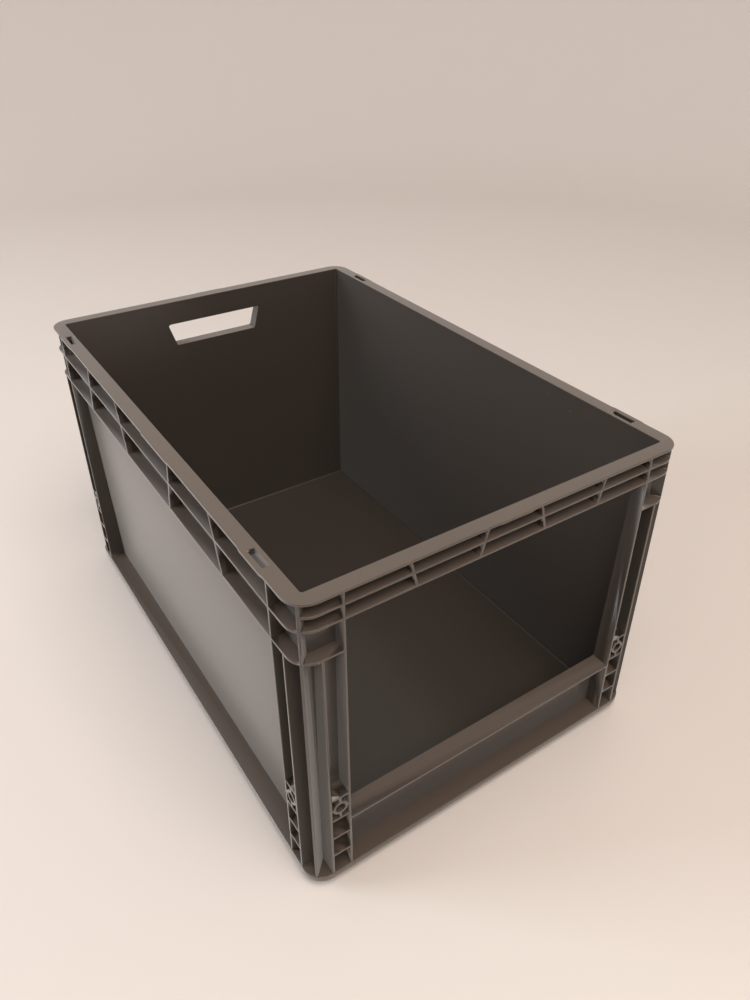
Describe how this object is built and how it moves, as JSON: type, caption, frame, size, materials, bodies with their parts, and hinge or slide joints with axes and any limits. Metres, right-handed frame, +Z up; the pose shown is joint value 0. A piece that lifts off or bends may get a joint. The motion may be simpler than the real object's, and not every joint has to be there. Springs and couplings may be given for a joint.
{
  "type": "open-fronted euro stacking container",
  "caption": "Open-topped rectangular stacking container with a ribbed outside, a pick window in the front wall, a hand hole at the back and slots through its long rims.",
  "frame": {"origin": "centre of the underside of the stacking foot", "axes": "+X to the right across the container, seen from the pick window at -Y; +Y along its length towards the hand hole; +Z up"},
  "size_m": [0.4, 0.6, 0.34],
  "materials": {
    "body": "satin moulded"
  },
  "bodies": {
    "root": {"container": "body"}
  },
  "joints": []
}
